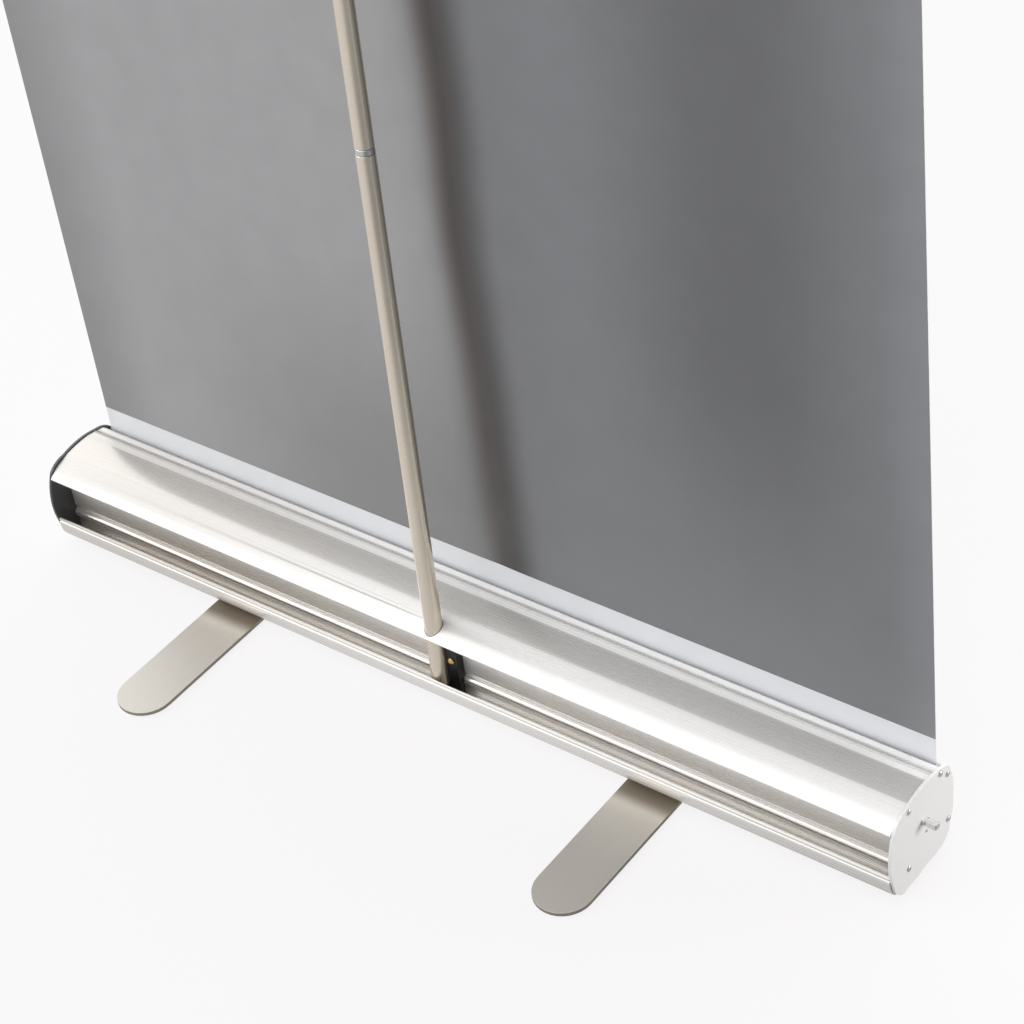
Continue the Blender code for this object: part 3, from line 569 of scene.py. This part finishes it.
def filmOffset(x, z):
    """How far the film stands to the rear at x across and z up: two slow waves and a crease, which come to
    nothing at the slot and in the rail."""
    look = filmLook
    rise = np.clip((z - slotZ) / look["waveRise"], 0, 1)
    fall = np.clip((look["railZ"] - z) / look["waveFall"], 0, 1)
    share = rise * rise * (3 - 2 * rise) * fall * fall * (3 - 2 * fall)
    slow = np.sin(x * 7.3 + 0.9) * np.cos(z * 2.1 + 0.4) + 0.6 * np.sin(x * 13.1 - z * 1.7 + 2.0)
    centre = look["creaseX"] + look["creaseSway"] * np.sin(z * 7.0 + 0.5)
    crease = np.exp(-(((x - centre) / look["creaseWidth"]) ** 2))
    early = np.clip((z - slotZ) / look["creaseRise"], 0, 1)
    return share * look["waveDepth"] * slow - early * fall * look["creaseDepth"] * crease


def sheetMesh(name, lowZ, highZ, rows, tuckPath=None):
    """A closed thin sheet: x runs from edge to edge and z from lowZ to highZ on two faces a thickness apart,
    joined round the rim. tuckPath continues it below lowZ through (y, z) points. Also returns how many of the
    first faces are the rear's."""
    half = (filmHigh.x - filmLow.x) / 2
    across = np.linspace(-half, half, filmLook["columns"] + 1)
    heights = np.linspace(highZ, lowZ, rows + 1)
    xs, zs = np.meshgrid(across, heights, indexing="ij")
    ys = filmOffset(xs, zs)
    if tuckPath is not None:
        path = np.array(tuckPath)
        xs = np.hstack([xs, np.repeat(across[:, None], len(path), axis=1)])
        ys = np.hstack([ys, np.repeat(path[None, :, 0], len(across), axis=0)])
        zs = np.hstack([zs, np.repeat(path[None, :, 1], len(across), axis=0)])
    middle = np.stack([xs, ys, zs], axis=-1)
    normal = np.cross(np.gradient(middle, axis=0), np.gradient(middle, axis=1))
    normal /= np.linalg.norm(normal, axis=-1, keepdims=True)
    rear = middle + normal * sheetThick / 2
    front = middle - normal * sheetThick / 2
    count = xs.size
    index = np.arange(count).reshape(xs.shape)
    back = np.stack([index[:-1, :-1], index[1:, :-1], index[1:, 1:], index[:-1, 1:]], -1).reshape(-1, 4)
    face = (back + count)[:, ::-1]
    rim = np.concatenate([index[0, :-1], index[:-1, -1], index[-1, :0:-1], index[:0:-1, 0]])
    after = np.roll(rim, -1)
    sides = np.stack([rim, after, after + count, rim + count], -1)
    points = np.concatenate([rear.reshape(-1, 3), front.reshape(-1, 3)])
    points[:, 0] += filmMiddle.x
    points[:, 1] += filmMiddle.y
    return meshFrom(name, points, np.concatenate([back, face, sides]), 60), len(back)


filmBottom = filmLow.z
mesh, backFaces = sheetMesh("film", filmBottom, filmHigh.z, filmLook["rows"])
mesh.materials.append(filmBack)
mesh.materials.append(filmFront)
sideOf = np.ones(len(mesh.polygons), dtype=np.int32)
sideOf[:backFaces] = 0
mesh.polygons.foreach_set("material_index", sideOf)
film = addPiece("film", mesh, None, "base", ("banner_film",))
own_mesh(film)

leaderLow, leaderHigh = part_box("leader_strip")
touchY = leaderHigh.y - filmMiddle.y - 0.2 * mm    # where the leader meets its turns on the roller
tuck = [
    (0.0, slotZ - 1.2 * mm), (0.35 * mm, slotZ - 3.0 * mm), (1.3 * mm, slotZ - 5.2 * mm),
    (touchY, leaderLow.z + 0.3 * mm),
]
mesh, backFaces = sheetMesh("leader", slotZ + 0.5 * mm, leaderHigh.z, filmLook["leaderRows"], tuck)
leader = addPiece("leader", mesh, leaderWhite, "base", ("leader_strip",))
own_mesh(leader)
print("stage: film and leader hung")


# ---------------------------------------------------------------- floor, light and camera
studio = {
    "skyStrength": 1.45,
    "skyColour": (0.985, 0.99, 1.0, 1),
    "backdrop": (0.975, 0.96, 0.968, 1),
    "dimSide": 0.15,         # share of the sky's strength towards -X
    "dimEdge": (-0.75, 0.25),
    "horizon": 0.70,         # the sky's strength there, for reflections
    "horizonEdge": (0.05, 0.60),
    "floorReach": 9.0,
    "floorZ": -0.4 * mm,
    "floorPaint": 0.12,
    "floorGlow": (1.0, 0.985, 0.992, 1),
    "floorSeen": 0.83,       # the pale floor glows for the camera, like a light table, so shadows stay faint
    "floorMirrored": 0.55,   # and less for reflections
    "floorDim": 0.10,        # least of all in a patch where the camera stands
    "patchMiddle": (-0.95, 0.60, 0),
    "patchEdge": (0.35, 1.15),
}
view = {
    "sensor": 36,
    "lens": 97.13,
    "place": (-1.17808, 1.27844, 1.56111),      # from under the film's middle, in metres
    "turn": (50.6615, 6.2613, -143.4502),       # degrees
}


def addFloor():
    reach, low = studio["floorReach"], studio["floorZ"]
    mesh = bpy.data.meshes.new("studioFloor")
    mesh.from_pydata([(-reach, -reach, low), (reach, -reach, low), (reach, reach, low), (-reach, reach, low)],
                     [], [(0, 1, 2, 3)])
    floor = bpy.data.objects.new("studioFloor", mesh)
    bpy.context.scene.collection.objects.link(floor)
    paint, tree, shader = newMaterial("floorPaint", grey(studio["floorPaint"])[:3], 0.95)
    feed(tree, 0.1, shader.inputs["Specular IOR Level"])
    feed(tree, studio["floorGlow"], shader.inputs["Emission Color"])
    away = addNode(tree, "ShaderNodeVectorMath", operation="DISTANCE")
    feed(tree, objectCoordinates(tree), away.inputs[0])
    feed(tree, studio["patchMiddle"], away.inputs[1])
    patch = mapRange(tree, away.outputs["Value"], studio["patchEdge"],
                     (studio["floorDim"], studio["floorMirrored"]), smooth=True)
    rays = addNode(tree, "ShaderNodeLightPath").outputs
    glow = mixNumbers(tree, rays["Is Camera Ray"], patch, studio["floorSeen"])
    feed(tree, glow, shader.inputs["Emission Strength"])
    mesh.materials.append(paint)


def addSky():
    """The room is dim towards -X and bright towards +X, so round parts are lit from the key's side. Mirror
    reflections see a dimmer horizon than matt faces do."""
    world = bpy.data.worlds.new("studio")
    bpy.context.scene.world = world
    world.use_nodes = True
    sky = world.node_tree
    background = sky.nodes["Background"]
    feed(sky, studio["skyColour"], background.inputs["Color"])
    heading = axesOf(sky, addNode(sky, "ShaderNodeTexCoord").outputs["Generated"])
    dimming = mapRange(sky, heading["X"], studio["dimEdge"], (studio["dimSide"], 1), smooth=True)
    horizon = mapRange(sky, heading["Z"], studio["horizonEdge"],
                       (studio["horizon"], studio["skyStrength"]), smooth=True)
    rays = addNode(sky, "ShaderNodeLightPath").outputs
    aloft = mixNumbers(sky, rays["Is Glossy Ray"], studio["skyStrength"], horizon)
    feed(sky, combine(sky, "MULTIPLY", dimming, aloft), background.inputs["Strength"])
    backdrop = addNode(sky, "ShaderNodeBackground")
    feed(sky, studio["backdrop"], backdrop.inputs["Color"])
    chosen = addNode(sky, "ShaderNodeMixShader")
    feed(sky, rays["Is Camera Ray"], chosen.inputs[0])
    feed(sky, background.outputs[0], chosen.inputs[1])
    feed(sky, backdrop.outputs[0], chosen.inputs[2])
    feed(sky, chosen.outputs[0], sky.nodes["World Output"].inputs["Surface"])


def areaLight(name, place, target, size, watts, tone=(1, 1, 1), mirrored=True):
    data = bpy.data.lights.new(name, "AREA")
    data.shape = "RECTANGLE"
    data.size, data.size_y = size
    data.energy = watts
    data.color = tone
    made = bpy.data.objects.new(name, data)
    bpy.context.scene.collection.objects.link(made)
    made.visible_glossy = mirrored
    made.location = place
    made.rotation_euler = (Vector(target) - Vector(place)).to_track_quat("-Z", "Y").to_euler()


def addCamera():
    data = bpy.data.cameras.new("camera")
    data.sensor_width = view["sensor"]
    data.lens = view["lens"]
    camera = bpy.data.objects.new("camera", data)
    bpy.context.scene.collection.objects.link(camera)
    camera.location = Vector(view["place"]) + Vector((filmMiddle.x, filmMiddle.y, 0))
    camera.rotation_euler = tuple(math.radians(angle) for angle in view["turn"])
    bpy.context.scene.camera = camera


addFloor()
addSky()
areaLight("keyPanel", (2.1, 1.9, 1.7), (0, 0, 0.3), (1.4, 1.8), 13)
areaLight("topPanel", (-0.5, 1.6, 3.2), (0, 0, 0.2), (2.2, 2.0), 12, tone=(1.0, 0.98, 0.95), mirrored=False)
areaLight("sidePanel", (-1.4, -0.7, 0.3), (-0.43, 0, 0.05), (0.6, 0.6), 10)
bpy.context.scene.view_settings.view_transform = "Standard"
addCamera()
print("stage: studio ready")
